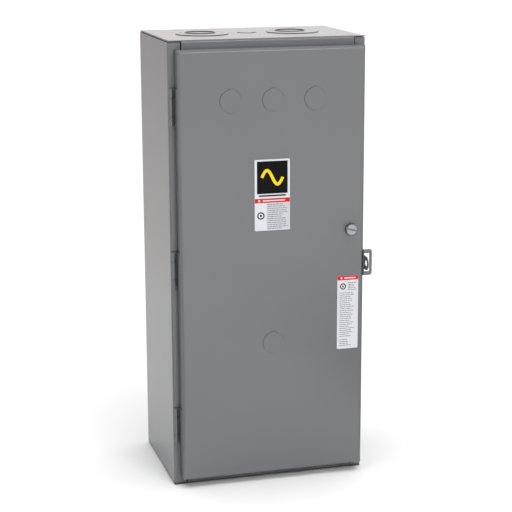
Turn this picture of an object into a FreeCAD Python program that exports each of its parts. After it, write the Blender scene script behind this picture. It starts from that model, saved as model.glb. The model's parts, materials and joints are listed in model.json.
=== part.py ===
"""Magnetic motor starter in a wall-mounted general-purpose steel enclosure.

Frame: origin on the wall plane, at the middle of the four wall-mounting holes.
+X is to the right as seen from the front, +Y runs into the wall, +Z is up.
All lengths are in millimetres.
"""
import FreeCAD
import Part
import math
import os

from FreeCAD import Vector

# ---------------------------------------------------------------- driving dimensions
BOX_WIDTH = 285.75
BOX_HEIGHT = 643.0
BOX_DEPTH = 190.0
SHEET = 1.5
SHEET_BEND = 1.75          # bend radius at the middle of the sheet
END_BEND = 2.8             # the same, at the end plates' front and back edges
END_EDGE_ROUND = 1.3       # on the end plates' side edges
SEAM = 0.8                 # open seam between neighbouring sheets
WELD_GAP = 0.05            # parts that are welded face to face

LEFT_RETURN = 18.0         # width of the wrapper's left front flange
RIGHT_RETURN = 15.4
LEFT_SLIT = 1.8            # open slit between that flange and the end plate
RIGHT_SLIT = 1.0
END_FRONT_FLANGE = 28.0
END_INNER_FLANGE = 13.0

WALL_HOLE_PITCH_X = 203.2
WALL_HOLE_PITCH_Z = 577.85
WALL_HOLE_RADIUS = 4.4

DOOR_LEFT_INSET = 10.0
DOOR_RIGHT_INSET = 5.35
DOOR_END_INSET = 12.5
DOOR_DEPTH = 19.0
DOOR_BEND = 4.0
DOOR_GAP = 0.8             # door rim to the enclosure's front flanges

HINGE_PITCH = 230.0
HINGE_HEIGHT = 53.0
HINGE_INSET = 3.1          # hinge axis from the enclosure's left side
HINGE_STANDOFF = 2.8       # hinge axis in front of the flange plane
KNUCKLE_RADIUS = 2.6
HINGE_PIN_RADIUS = 1.2
HINGE_LEAF = 1.2
RUNNING_GAP = 0.05

PILOT_RADIUS = 15.9        # door knockouts for 30 mm pilot devices
PILOT_PITCH = 61.0
PILOT_ROW_HEIGHT = 237.7   # upper row, above the middle of the enclosure
PILOT_LOWER_HEIGHT = -112.5
DOOR_GROOVE = 0.2
DOOR_STEP = 0.7            # how far the slugs stand out of the door

CONDUIT_OUTER_RADIUS = 38.2
CONDUIT_MIDDLE_RADIUS = 30.5
CONDUIT_INNER_RADIUS = 22.3
CONDUIT_DISH_RADIUS = 20.6 # dished middle of the innermost slug
CONDUIT_SMALL_RADIUS = 14.1
CONDUIT_CORE_RADIUS = 11.1 # inside the small ring
CONDUIT_PITCH = 67.5
CONDUIT_ROW_X = -3.2       # middle of the row of end knockouts
CONDUIT_RIM = 1.3          # distance from each ring to the next at the back
END_GROOVE = 0.5
END_STEP = 0.9
END_DISH = 1.2
END_SMALL_STEP = 0.5
END_SLOT = 1.2             # below the end plates' edges
END_EDGE = 0.3             # from those edges to the wrapper's outer faces

LATCH_X = 117.1
LATCH_Z = 48.0
LATCH_HEAD_RADIUS = 8.2
LATCH_SHANK_RADIUS = 4.0
LATCH_SLOT_TILT = 15.0

HASP_Z = -3.8
HASP_HALF_HEIGHT = 19.1
HASP_REACH = 14.0          # beyond the door's right side
HASP_SET_BACK = 3.0        # its face behind the door's
HASP_LEG = 11.0            # along the door's side
HASP_THICKNESS = 2.0
HASP_NOTCH = 2.6           # width of the notch in the door's bend beside the bracket
STAPLE_THICKNESS = 1.2
STAPLE_HALF_HEIGHT = 10.0
STAPLE_HOLE_RADIUS = 4.8
STAPLE_HOLE_FORWARD = 21.6  # hole centre in front of the flange plane

# planes that follow from them
LEFT = -BOX_WIDTH / 2
RIGHT = BOX_WIDTH / 2
TOP = BOX_HEIGHT / 2
BOTTOM = -BOX_HEIGHT / 2
WALL = 0.0
FRONT = -BOX_DEPTH
DOOR_FACE = FRONT - DOOR_DEPTH
DOOR_LEFT = LEFT + DOOR_LEFT_INSET
DOOR_RIGHT = RIGHT - DOOR_RIGHT_INSET
DOOR_TOP = TOP - DOOR_END_INSET
DOOR_BOTTOM = BOTTOM + DOOR_END_INSET
DOOR_MIDDLE = (DOOR_LEFT + DOOR_RIGHT) / 2
HINGE_X = LEFT + HINGE_INSET
HINGE_Y = FRONT - HINGE_STANDOFF

# mounting pan and the starter on it
PAN_FACE = -14.0           # front of the pan
PAN_SHEET = 2.0
PAN_HALF_WIDTH = 118.0
PAN_HALF_HEIGHT = 245.0
POLE_PITCH = 48.0
POLES = (-POLE_PITCH, 0.0, POLE_PITCH)

STARTER_HALF_WIDTH = 74.0
CONTACTOR_BOTTOM = 20.0
CONTACTOR_TOP = 190.0
CONTACTOR_MIDDLE = (CONTACTOR_BOTTOM + CONTACTOR_TOP) / 2
MAGNET_FRONT = -62.0       # magnet housing's front, and the contact base's back
BASE_FRONT = -84.0         # face that the fixed contacts lie on
ARC_FRONT = -140.0
CONTACT_TRAVEL = 6.6
CONTACT_GAP = 6.8
CONTACT_BAR = 3.0
CONTACT_TIP = 2.4
CONTACT_REACH = 22.0       # contact tip above and below the contactor's middle

OVERLOAD_TOP = 0.0
OVERLOAD_BOTTOM = -96.0
OVERLOAD_FRONT = -104.0
OVERLOAD_COVER = 8.0

CONTACTOR_FIXINGS = [(x, CONTACTOR_MIDDLE + z) for x in (-66.0, 66.0) for z in (-55.0, 55.0)]
OVERLOAD_CORNERS = [(x, z) for x in (-67.0, 67.0) for z in (OVERLOAD_BOTTOM + 8, OVERLOAD_TOP - 8)]
ARC_POST_X = 66.5
ARC_POST_Z = 52.0
COIL_TAB = (-48.0, -46.5)
AUX_FRONT = BASE_FRONT - 16.0

LUG_HEIGHT = 30.0
LUG_WIDTH = 24.0
LUG_DEPTH = 28.0
LUG_BORE = 8.0             # radius of the conductor hole

WIRE_SIDES = 12            # flats around a spring's wire, which keep its area


# ---------------------------------------------------------------- geometry helpers
def span(middle, width):
    """Low and high ends of a width about a middle."""
    return (middle - width / 2, middle + width / 2)


def block(x, y, z):
    """Box from three (low, high) ranges."""
    return Part.makeBox(x[1] - x[0], y[1] - y[0], z[1] - z[0], Vector(x[0], y[0], z[0]))


def rod(radius, start, end):
    """Cylinder between two points."""
    axis = Vector(*end) - Vector(*start)
    return Part.makeCylinder(radius, axis.Length, Vector(*start), axis)


def hex_prism(across_flats, start, end):
    """Hexagonal prism along Y between two points."""
    corner = across_flats / math.sqrt(3)
    angles = [math.radians(60 * i) for i in range(7)]
    points = [Vector(start[0] + corner * math.cos(a), start[1], start[2] + corner * math.sin(a)) for a in angles]
    face = Part.Face(Part.makePolygon(points))
    return face.extrude(Vector(0, end[1] - start[1], 0))


def edges_along(shape, axis):
    """Straight edges of a shape that are parallel to an axis."""
    lines = [edge for edge in shape.Edges if edge.Curve.TypeId == "Part::GeomLine"]
    return [edge for edge in lines if abs(edge.Curve.Direction.dot(axis)) > 1 - 1e-6]


def edges_through(shape, x, z):
    """Edges along Y that pass through one place in X and Z."""
    lines = edges_along(shape, Vector(0, 1, 0))
    return [edge for edge in lines if math.hypot(edge.CenterOfMass.x - x, edge.CenterOfMass.z - z) < 1e-3]


def rounded_block(x, y, z, radius, axis):
    """Box with the four edges along an axis rounded."""
    solid = block(x, y, z)
    return solid.makeFillet(radius, edges_along(solid, axis))


def soft_block(x, y, z, radius):
    """Moulded box: the edges along Y and the front rim are rounded."""
    solid = block(x, y, z)
    rim = [edge for edge in solid.Edges if edge.BoundBox.YMax < y[0] + 1e-6]
    return solid.makeFillet(radius, rim + edges_along(solid, Vector(0, 1, 0)))


def fused(shapes):
    """One solid from overlapping shapes."""
    whole = shapes[0]
    for shape in shapes[1:]:
        whole = whole.fuse(shape)
    return whole.removeSplitter()


def bent_strip(points, thickness, radius):
    """Face of a bent sheet whose middle line runs through points in the XY plane."""
    corners = [Vector(x, y, 0) for x, y in points]
    sides = []
    for side in (1, -1):
        edges = []
        heading = (corners[1] - corners[0]).normalize()
        normal = Vector(-heading.y, heading.x, 0)
        at = corners[0] + normal * side * thickness / 2
        for i in range(1, len(corners)):
            heading = (corners[i] - corners[i - 1]).normalize()
            normal = Vector(-heading.y, heading.x, 0)
            if i == len(corners) - 1:
                end = corners[i] + normal * side * thickness / 2
                edges.append(Part.LineSegment(at, end).toShape())
                at = end
                continue
            onward = (corners[i + 1] - corners[i]).normalize()
            turn = math.copysign(1, heading.x * onward.y - heading.y * onward.x)
            setback = radius * math.tan(heading.getAngle(onward) / 2)
            centre = corners[i] - heading * setback + normal * turn * radius
            side_radius = radius - side * turn * thickness / 2
            onward_normal = Vector(-onward.y, onward.x, 0)
            start = centre - normal * turn * side_radius
            end = centre - onward_normal * turn * side_radius
            middle = centre + (corners[i] - centre).normalize() * side_radius
            edges.append(Part.LineSegment(at, start).toShape())
            edges.append(Part.Arc(start, middle, end).toShape())
            at = end
        sides.append((edges, at))
    first_edges, first_end = sides[0]
    second_edges, second_end = sides[1]
    far_cap = Part.LineSegment(first_end, second_end).toShape()
    near_cap = Part.LineSegment(first_edges[0].Vertexes[0].Point, second_edges[0].Vertexes[0].Point).toShape()
    return Part.Face(Part.Wire(Part.__sortEdges__(first_edges + [far_cap] + second_edges + [near_cap])))


def strip_along_z(points, thickness, radius, z):
    """Bent sheet with its profile in X and Y, running from z[0] to z[1]."""
    solid = bent_strip(points, thickness, radius).extrude(Vector(0, 0, z[1] - z[0]))
    solid.translate(Vector(0, 0, z[0]))
    return solid


def strip_along_x(points, thickness, radius, x):
    """Bent sheet with its profile in Y and Z, running from x[0] to x[1]."""
    solid = bent_strip(points, thickness, radius).extrude(Vector(0, 0, x[1] - x[0]))
    turn = FreeCAD.Matrix(0, 0, 1, x[0], 1, 0, 0, 0, 0, 1, 0, 0, 0, 0, 0, 1)
    solid.Placement = FreeCAD.Placement(turn)
    return solid


def routed_wire(radius, points):
    """Insulated wire: straight runs joined by tangent arcs."""
    corners = [Vector(*point) for point in points]
    edges = []
    at = corners[0]
    for i in range(1, len(corners) - 1):
        before = corners[i] - corners[i - 1]
        after = corners[i + 1] - corners[i]
        setback = 0.45 * min(before.Length, after.Length)
        heading = Vector(before).normalize()
        onward = Vector(after).normalize()
        bend = setback / math.tan(heading.getAngle(onward) / 2)
        start = corners[i] - heading * setback
        end = corners[i] + onward * setback
        inward = (onward - heading).normalize()
        middle = corners[i] + inward * (math.hypot(bend, setback) - bend)
        edges.append(Part.LineSegment(at, start).toShape())
        edges.append(Part.Arc(start, middle, end).toShape())
        at = end
    edges.append(Part.LineSegment(at, corners[-1]).toShape())
    path = Part.Wire(edges)
    section = Part.Wire(Part.Circle(corners[0], corners[1] - corners[0], radius).toShape())
    return path.makePipeShell([section], True, True)


def coil_spring(radius, wire_radius, turns, start, length):
    """Helical compression spring along -Y from a start point, of many-sided wire."""
    run = length - 2 * wire_radius
    pitch = run / turns
    path = Part.makeHelix(pitch, run, radius)
    along = Vector(0, 2 * math.pi * radius, pitch).normalize()
    outward = Vector(1, 0, 0)
    across = along.cross(outward)
    corner_radius = wire_radius * math.sqrt(2 * math.pi / (WIRE_SIDES * math.sin(2 * math.pi / WIRE_SIDES)))
    corners = []
    for i in range(WIRE_SIDES):
        angle = 2 * math.pi * i / WIRE_SIDES
        offset = outward * math.cos(angle) + across * math.sin(angle)
        corners.append(outward * radius + offset * corner_radius)
    section = Part.makePolygon(corners + corners[:1])
    spring = Part.Wire(path.Edges).makePipeShell([section], True, True)
    spring.rotate(Vector(0, 0, 0), Vector(1, 0, 0), 90)
    spring.translate(Vector(start[0], start[1] - wire_radius, start[2]))
    return spring


def slotted_screw(head_radius, head_height, shank_radius, shank_length, at):
    """Pan-head screw facing the front; at is the seat under its head."""
    x, y, z = at
    head = rod(head_radius, (x, y, z), (x, y - head_height, z))
    head = head.makeFillet(head_height * 0.35, [e for e in head.Edges if e.BoundBox.YMax < y - head_height / 2])
    slot = block(span(x, head_radius * 3), (y - head_height - 1, y - head_height * 0.45), span(z, head_radius * 0.3))
    shank = rod(shank_radius, (x, y - head_height * 0.2, z), (x, y + shank_length, z))
    return fused([head.cut(slot), shank])


def export(node, shapes):
    """Write one node; a list makes one group of separate solids."""
    shape = Part.makeCompound(shapes) if isinstance(shapes, list) else shapes
    shape.exportStep("parts/" + node + ".step")


# ---------------------------------------------------------------- knockouts
DOOR_SIDE = FreeCAD.Rotation(Vector(1, 0, 0), 90)     # local +Z faces the front
TOP_SIDE = FreeCAD.Rotation()
BOTTOM_SIDE = FreeCAD.Rotation(Vector(1, 0, 0), 180)


def knockout_outline(radius, key, low, high):
    """Disc, with a small locating key at its top, between two heights."""
    disc = Part.makeCylinder(radius, high - low, Vector(0, 0, low))
    if not key:
        return disc
    half_width, rise = key
    return disc.fuse(Part.makeBox(2 * half_width, radius + rise, high - low, Vector(-half_width, 0, low)))


def dished(plate, centre, side, radius, step, level):
    """Press a round patch of a sheet in or out by step, starting from a level."""
    low, high = sorted((0.0, step))
    face_step = Part.makeCylinder(radius, high - low, Vector(0, 0, level + low))
    back_step = face_step.translated(Vector(0, 0, -SHEET))
    added, removed = (face_step, back_step) if step > 0 else (back_step, face_step)
    for tool in (added, removed):
        tool.Placement = FreeCAD.Placement(Vector(*centre), side).multiply(tool.Placement)
    return plate.fuse(added).cut(removed)


def knockout(plate, centre, side, radius, groove, step, tie_angles, key=None, level=0.0):
    """Cut one knockout into a sheet whose outer face passes through centre.

    The slug sits out of the sheet by step and hangs on the ties.
    level is how far the metal around it already sits out.
    """
    clear = 4.0
    tie_width = 2.6
    key_out = (key[0] + groove / 2, key[1]) if key else None
    key_in = (key[0] - groove / 2, key[1]) if key else None
    outer = knockout_outline(radius + groove / 2, key_out, -clear, clear)
    inner = knockout_outline(radius - groove / 2, key_in, -clear, clear)
    ring = outer.cut(inner)
    for angle in tie_angles:
        tie = Part.makeBox(2 * groove + 2, tie_width, 2 * clear, Vector(radius - groove - 1, -tie_width / 2, -clear))
        tie.rotate(Vector(0, 0, 0), Vector(0, 0, 1), angle)
        ring = ring.cut(tie)
    if not step:
        ring.Placement = FreeCAD.Placement(Vector(*centre), side).multiply(ring.Placement)
        return plate.cut(ring)
    low, high = sorted((0.0, step))
    face_step = knockout_outline(radius - groove / 2, key_in, level + low, level + high)
    back_step = face_step.translated(Vector(0, 0, -SHEET))
    added, removed = (face_step, back_step) if step > 0 else (back_step, face_step)
    for tool in (ring, added, removed):
        tool.Placement = FreeCAD.Placement(Vector(*centre), side).multiply(tool.Placement)
    return plate.fuse(added).cut(removed).cut(ring)


# ---------------------------------------------------------------- enclosure
def enclosure_wrapper():
    """Left side, back and right side in one bent sheet, with front return flanges."""
    half = SHEET / 2
    profile = [
        (LEFT + LEFT_RETURN, FRONT + half),
        (LEFT + half, FRONT + half),
        (LEFT + half, WALL - half),
        (RIGHT - half, WALL - half),
        (RIGHT - half, FRONT + half),
        (RIGHT - RIGHT_RETURN, FRONT + half),
    ]
    end = SHEET + END_SLOT
    wrapper = strip_along_z(profile, SHEET, SHEET_BEND, (BOTTOM + end, TOP - end))
    for x in span(0, WALL_HOLE_PITCH_X):
        for z in span(0, WALL_HOLE_PITCH_Z):
            wrapper = wrapper.cut(rod(WALL_HOLE_RADIUS, (x, WALL - 5, z), (x, WALL + 5, z)))
    staple_x = (RIGHT - SHEET - STAPLE_THICKNESS - 0.25, RIGHT - SHEET + 0.02)
    slot = block(staple_x, (FRONT - 1, FRONT + SHEET + 1.2), span(HASP_Z, 2 * STAPLE_HALF_HEIGHT + 0.6))
    return wrapper.cut(slot)


def end_plate(at_top):
    """Top or bottom end of the enclosure, bent down behind the door and flanged inside."""
    outside = TOP if at_top else BOTTOM
    inward = -1 if at_top else 1
    half = SHEET / 2
    back = WALL - SHEET - WELD_GAP
    middle_x = (LEFT + LEFT_RETURN + LEFT_SLIT, RIGHT - RIGHT_RETURN - RIGHT_SLIT)
    profile = [
        (back - half, outside + inward * END_INNER_FLANGE),
        (back - half, outside + inward * half),
        (FRONT + half, outside + inward * half),
        (FRONT + half, outside + inward * END_FRONT_FLANGE),
    ]
    plate = strip_along_x(profile, SHEET, END_BEND, middle_x)
    skin = sorted((outside, outside + inward * SHEET))
    flange = sorted((outside + inward * SHEET, outside + inward * END_INNER_FLANGE))
    wing_y = (FRONT + END_EDGE, back - SHEET)
    flange_y = (FRONT + SHEET + SEAM, back - SHEET)
    pieces = [plate]
    for sign, near in ((-1, middle_x[0]), (1, middle_x[1])):
        edge = sign * (RIGHT - END_EDGE)
        wing = block(sorted((edge, near)), wing_y, skin)
        wing = wing.makeFillet(END_EDGE_ROUND, edges_through(wing, edge, outside))
        flange_x = sorted((sign * (RIGHT - SHEET - SEAM), sign * (RIGHT - 2 * SHEET - SEAM)))
        pieces += [wing, block(flange_x, flange_y, flange)]
    plate = fused(pieces)
    side = TOP_SIDE if at_top else BOTTOM_SIDE
    step = END_STEP if at_top else -END_STEP
    dish = math.copysign(END_DISH, step)
    small_step = math.copysign(END_SMALL_STEP, step)
    ring_y = (FRONT + WALL) / 2
    middle_y = ring_y + CONDUIT_OUTER_RADIUS - CONDUIT_MIDDLE_RADIUS - CONDUIT_RIM
    inner_y = middle_y + CONDUIT_MIDDLE_RADIUS - CONDUIT_INNER_RADIUS - CONDUIT_RIM
    for direction in (-1, 1):
        x = CONDUIT_ROW_X + direction * CONDUIT_PITCH
        inner = (x, inner_y, outside)
        plate = knockout(plate, (x, ring_y, outside), side, CONDUIT_OUTER_RADIUS, END_GROOVE, step, (30, 150))
        plate = knockout(plate, (x, middle_y, outside), side, CONDUIT_MIDDLE_RADIUS, END_GROOVE, 0, (54, 126, 270))
        plate = knockout(plate, inner, side, CONDUIT_INNER_RADIUS, END_GROOVE, step, (75, 200), level=step)
        plate = dished(plate, inner, side, CONDUIT_DISH_RADIUS, -dish, 2 * step)
    small_y = ring_y + 5
    core_y = small_y + CONDUIT_SMALL_RADIUS - CONDUIT_CORE_RADIUS - CONDUIT_RIM
    small = (CONDUIT_ROW_X, small_y, outside)
    core = (CONDUIT_ROW_X, core_y, outside)
    plate = knockout(plate, small, side, CONDUIT_SMALL_RADIUS, END_GROOVE, -small_step, (0, 180))
    plate = knockout(plate, core, side, CONDUIT_CORE_RADIUS, END_GROOVE, step, (90,), level=-small_step)
    return plate


def door():
    """Pan-shaped door with four closed pilot-device knockouts."""
    x = (DOOR_LEFT, DOOR_RIGHT)
    z = (DOOR_BOTTOM, DOOR_TOP)
    outer = block(x, (DOOR_FACE, FRONT - DOOR_GAP), z)
    outer = outer.makeFillet(DOOR_BEND, [e for e in outer.Edges if e.BoundBox.YMax < DOOR_FACE + 1e-6])
    inner = block((x[0] + SHEET, x[1] - SHEET), (DOOR_FACE + SHEET, FRONT), (z[0] + SHEET, z[1] - SHEET))
    rim = [e for e in inner.Edges if e.BoundBox.YMax < DOOR_FACE + SHEET + 1e-6]
    pan = outer.cut(inner.makeFillet(DOOR_BEND - SHEET, rim))
    places = [(DOOR_MIDDLE + i * PILOT_PITCH, PILOT_ROW_HEIGHT) for i in (-1, 0, 1)]
    places.append((DOOR_MIDDLE, PILOT_LOWER_HEIGHT))
    for px, pz in places:
        pan = knockout(pan, (px, DOOR_FACE, pz), DOOR_SIDE, PILOT_RADIUS, DOOR_GROOVE, DOOR_STEP, (-90, 128),
                       key=(1.9, 1.6))
    hole = rod(6.05, (LATCH_X, DOOR_FACE - 1, LATCH_Z), (LATCH_X, DOOR_FACE + 5, LATCH_Z))
    notch_x = (DOOR_RIGHT - HASP_NOTCH, DOOR_RIGHT + 1)
    notch = block(notch_x, (DOOR_FACE - 1, DOOR_FACE + HASP_LEG), span(HASP_Z, 2 * HASP_HALF_HEIGHT - 1))
    return pan.cut(hole).cut(notch)


def hinge_knuckle(low, high):
    """Hollow knuckle on the door's hinge axis."""
    barrel = rod(KNUCKLE_RADIUS, (HINGE_X, HINGE_Y, low), (HINGE_X, HINGE_Y, high))
    bore = rod(HINGE_PIN_RADIUS + RUNNING_GAP, (HINGE_X, HINGE_Y, low - 1), (HINGE_X, HINGE_Y, high + 1))
    return barrel, bore


def hinge_parts(middle):
    """Box leaf, door leaf and pin of one weld-on butt hinge: quarter, half, quarter knuckles."""
    quarter = HINGE_HEIGHT / 4
    low, high = span(middle, HINGE_HEIGHT)
    split = 0.3
    box_leaf = []
    for a, b in ((low, low + quarter - split), (high - quarter + split, high)):
        barrel, bore = hinge_knuckle(a, b)
        leaf = block((HINGE_X, LEFT + DOOR_LEFT_INSET - 0.9), (FRONT - HINGE_LEAF - WELD_GAP, FRONT - WELD_GAP), (a, b))
        box_leaf.append(fused([barrel, leaf]).cut(bore))
    barrel, bore = hinge_knuckle(low + quarter + split, high - quarter - split)
    root_y = HINGE_Y + KNUCKLE_RADIUS - HINGE_LEAF / 2
    wall_side = DOOR_LEFT - WELD_GAP
    leaf_front = DOOR_FACE + DOOR_BEND + 0.5
    profile = [
        (HINGE_X, root_y),
        (wall_side - HINGE_LEAF / 2, root_y),
        (wall_side - HINGE_LEAF / 2, leaf_front),
    ]
    root = strip_along_z(profile, HINGE_LEAF, 1.2, (low + quarter + split, high - quarter - split))
    leaf = block((wall_side - HINGE_LEAF, wall_side), (leaf_front, FRONT - HINGE_LEAF - 0.6), (low, high))
    door_leaf = fused([barrel, root, leaf]).cut(bore)
    pin = rod(HINGE_PIN_RADIUS, (HINGE_X, HINGE_Y, low + 0.5), (HINGE_X, HINGE_Y, high - 0.5))
    return box_leaf, door_leaf, pin


def hasp_plate():
    """Angle bracket welded to the door's right side, with a window for the padlock staple."""
    tongue_y = DOOR_FACE + HASP_SET_BACK + HASP_THICKNESS / 2
    leg_x = DOOR_RIGHT + WELD_GAP + HASP_THICKNESS / 2
    right = DOOR_RIGHT + HASP_REACH
    profile = [
        (leg_x, tongue_y + HASP_LEG),
        (leg_x, tongue_y),
        (right, tongue_y),
    ]
    plate = strip_along_z(profile, HASP_THICKNESS, HASP_THICKNESS, span(HASP_Z, 2 * HASP_HALF_HEIGHT))
    outer_corners = [e for e in edges_along(plate, Vector(0, 1, 0)) if e.BoundBox.XMin > right - 1]
    plate = plate.makeFillet(4.0, outer_corners)
    window_x = (DOOR_RIGHT + 2.25, DOOR_RIGHT + 10.5)
    window = rounded_block(window_x, span(tongue_y, 4), span(HASP_Z, 27.1), 0.8, Vector(0, 1, 0))
    return plate.cut(window)


def padlock_staple():
    """Half-moon staple on the enclosure's right side that stands through the hasp's window."""
    x = (RIGHT - SHEET - WELD_GAP - STAPLE_THICKNESS, RIGHT - SHEET - WELD_GAP)
    centre_y = FRONT - STAPLE_HOLE_FORWARD
    neck = block(x, (centre_y, FRONT + 6), span(HASP_Z, 2 * STAPLE_HALF_HEIGHT))
    nose = rod(STAPLE_HALF_HEIGHT, (x[0], centre_y, HASP_Z), (x[1], centre_y, HASP_Z))
    foot = block(x, (FRONT + 5, FRONT + 34), span(HASP_Z, 36))
    hole = rod(STAPLE_HOLE_RADIUS, (x[0] - 1, centre_y, HASP_Z), (x[1] + 1, centre_y, HASP_Z))
    return fused([neck, nose, foot]).cut(hole)


def latch_parts():
    """Slotted knob, its bushing in the door, the cam behind the door and the cam's nut."""
    head_back = DOOR_FACE - 1.3
    head_front = DOOR_FACE - 7.0
    cam_front = FRONT + 6.2
    cam_back = cam_front + 2.8
    at = (LATCH_X, LATCH_Z)
    head = rod(LATCH_HEAD_RADIUS, (at[0], head_back, at[1]), (at[0], head_front, at[1]))
    head = head.makeChamfer(0.8, [e for e in head.Edges if e.BoundBox.YMax < head_front + 1])
    serrations = 26
    for i in range(serrations):
        angle = 2 * math.pi * i / serrations
        rim = (at[0] + LATCH_HEAD_RADIUS * math.cos(angle), at[1] + LATCH_HEAD_RADIUS * math.sin(angle))
        head = head.cut(rod(0.5, (rim[0], head_back + 1, rim[1]), (rim[0], head_front - 1, rim[1])))
    slot = block(span(at[0], 30), (head_front - 1, head_front + 2.2), span(at[1], 2.4))
    slot.rotate(Vector(at[0], 0, at[1]), Vector(0, 1, 0), LATCH_SLOT_TILT)
    shank = rod(LATCH_SHANK_RADIUS, (at[0], head_back - 0.5, at[1]), (at[0], cam_front - 0.1, at[1]))
    square = block(span(at[0], 5.6), (cam_front - 0.5, cam_back), span(at[1], 5.6))
    stud = rod(2.4, (at[0], cam_back - 0.5, at[1]), (at[0], cam_back + 4.6, at[1]))
    knob = fused([head.cut(slot), shank, square, stud])
    sleeve = rod(6.0, (at[0], DOOR_FACE - 0.02, at[1]), (at[0], DOOR_FACE + SHEET + 4, at[1]))
    collar = rod(7.0, (at[0], head_back + 0.1, at[1]), (at[0], DOOR_FACE - 0.02, at[1]))
    lock_ring = rod(8.0, (at[0], DOOR_FACE + SHEET + 0.05, at[1]), (at[0], DOOR_FACE + SHEET + 3, at[1]))
    bore = rod(LATCH_SHANK_RADIUS + 0.08, (at[0], head_back - 1, at[1]), (at[0], FRONT, at[1]))
    bushing = fused([collar, sleeve, lock_ring]).cut(bore)
    cam_length = 22.0
    cam = block(span(at[0], 13), (cam_front, cam_back - 0.1), (at[1] - 6.5, at[1] + cam_length))
    cam = cam.makeFillet(5.0, edges_along(cam, Vector(0, 1, 0)))
    cam = cam.cut(block(span(at[0], 5.8), (cam_front - 1, cam_back + 1), span(at[1], 5.8)))
    nut = hex_prism(8.0, (at[0], cam_back, at[1]), (at[0], cam_back + 3.6, at[1]))
    nut = nut.cut(rod(2.45, (at[0], cam_back - 1, at[1]), (at[0], cam_back + 6, at[1])))
    return knob, bushing, cam, nut


def door_label(x, z):
    """Printed sticker on the door's face."""
    return rounded_block(x, (DOOR_FACE - 0.3, DOOR_FACE - 0.02), z, 1.6, Vector(0, 1, 0))


def build_enclosure():
    export("enclosure_wrapper", enclosure_wrapper())
    export("top_end_plate", end_plate(True))
    export("bottom_end_plate", end_plate(False))
    export("door", door())
    box_leaves, door_leaves, pins = [], [], []
    for i in (-1, 0, 1):
        box_leaf, door_leaf, pin = hinge_parts(i * HINGE_PITCH)
        box_leaves += box_leaf
        door_leaves.append(door_leaf)
        pins.append(pin)
    export("hinge_box_leaves", box_leaves)
    export("hinge_door_leaves", door_leaves)
    export("hinge_pins", pins)
    export("hasp_plate", hasp_plate())
    export("padlock_staple", padlock_staple())
    knob, bushing, cam, nut = latch_parts()
    export("latch_knob", knob)
    export("latch_bushing", bushing)
    export("latch_cam", cam)
    export("latch_cam_nut", nut)
    export("nameplate_label", door_label((LEFT + 117.6, LEFT + 169.2), (BOTTOM + 374.5, BOTTOM + 476.1)))
    export("caution_label", door_label((LEFT + 240.9, LEFT + 272.7), (BOTTOM + 191.3, BOTTOM + 300.5)))


# ---------------------------------------------------------------- mounting pan and ground
def build_mounting():
    pan_back = PAN_FACE + PAN_SHEET
    flange = 9.0
    half = PAN_SHEET / 2
    profile = [
        (-PAN_HALF_WIDTH + half, PAN_FACE - flange),
        (-PAN_HALF_WIDTH + half, PAN_FACE + half),
        (PAN_HALF_WIDTH - half, PAN_FACE + half),
        (PAN_HALF_WIDTH - half, PAN_FACE - flange),
    ]
    pan = strip_along_z(profile, PAN_SHEET, 2.4, (-PAN_HALF_HEIGHT, PAN_HALF_HEIGHT))
    standoffs, nuts = [], []
    stud_radius = 3.0
    for x in span(0, 2 * PAN_HALF_WIDTH - 44):
        for z in span(0, 2 * PAN_HALF_HEIGHT - 40):
            pan = pan.cut(rod(stud_radius + 0.4, (x, PAN_FACE - 1, z), (x, pan_back + 1, z)))
            seat = hex_prism(12.0, (x, pan_back + 0.02, z), (x, WALL - SHEET - 0.02, z))
            stud = rod(stud_radius, (x, PAN_FACE - 8, z), (x, pan_back + 1, z))
            standoffs.append(fused([seat, stud]))
            nut = hex_prism(10.0, (x, PAN_FACE - 5, z), (x, PAN_FACE - 0.02, z))
            nuts.append(nut.cut(rod(stud_radius + 0.05, (x, PAN_FACE - 6, z), (x, PAN_FACE + 1, z))))
    for x, z in CONTACTOR_FIXINGS:
        pan = pan.cut(rod(3.2, (x, PAN_FACE - 1, z), (x, pan_back + 1, z)))
    export("mounting_pan", pan)
    export("pan_standoffs", standoffs)
    export("pan_nuts", nuts)

    lug_x, lug_z = 62.0, -283.0
    back = WALL - SHEET - 0.02
    body = rounded_block(span(lug_x, 16), (back - 18, back - 4), span(lug_z, 26), 2.0, Vector(0, 0, 1))
    tongue = block(span(lug_x, 16), (back - 5, back), (lug_z - 13, lug_z + 34))
    lug = fused([body, tongue])
    lug = lug.cut(rod(4.5, (lug_x, back - 11, lug_z - 20), (lug_x, back - 11, lug_z + 20)))
    lug = lug.cut(rod(3.1, (lug_x, back - 20, lug_z), (lug_x, back - 10, lug_z)))
    export("ground_lug", lug)
    clamp = slotted_screw(4.4, 3.0, 3.0, 3.0, (lug_x, back - 18.02, lug_z))
    holder = slotted_screw(5.0, 3.0, 2.6, 0.0, (lug_x, back - 5.02, lug_z + 26))
    export("ground_screws", [clamp, holder])


# ---------------------------------------------------------------- contactor
ARMATURE_FRONT = -61.2
ARMATURE_BACK = -52.8
CORE_FACE = ARMATURE_BACK + CONTACT_GAP
CORE_BACK = -18.0
STEM_X = POLE_PITCH / 2


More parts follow.
